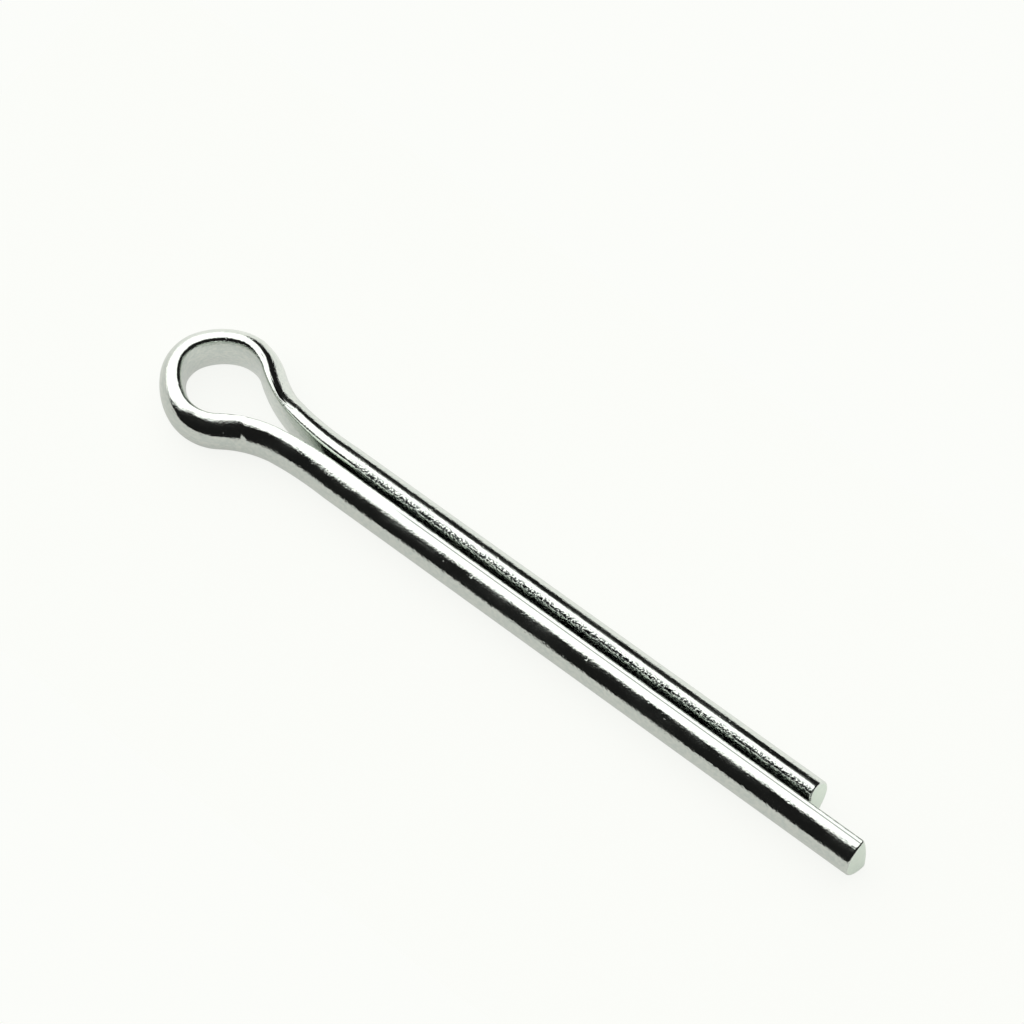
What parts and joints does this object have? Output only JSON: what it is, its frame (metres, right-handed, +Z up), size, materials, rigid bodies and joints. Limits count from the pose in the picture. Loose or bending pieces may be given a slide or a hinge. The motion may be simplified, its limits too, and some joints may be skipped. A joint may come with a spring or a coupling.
{
  "type": "cotter pin",
  "caption": "Split pin folded from half-round steel wire, with a rounded eye and legs of unequal length, to lock a nut or retain a pin through a cross hole.",
  "frame": {"origin": "on the shank's axis, where the straight shank starts below the neck", "axes": "+X along the shank towards the tips, +Y towards the short leg, +Z up as the pin lies flat"},
  "size_m": [0.0502, 0.0074, 0.0032],
  "materials": {
    "zinc_plated_steel": "gloss"
  },
  "bodies": {
    "root": {"cotter_pin": "zinc_plated_steel"}
  },
  "joints": []
}
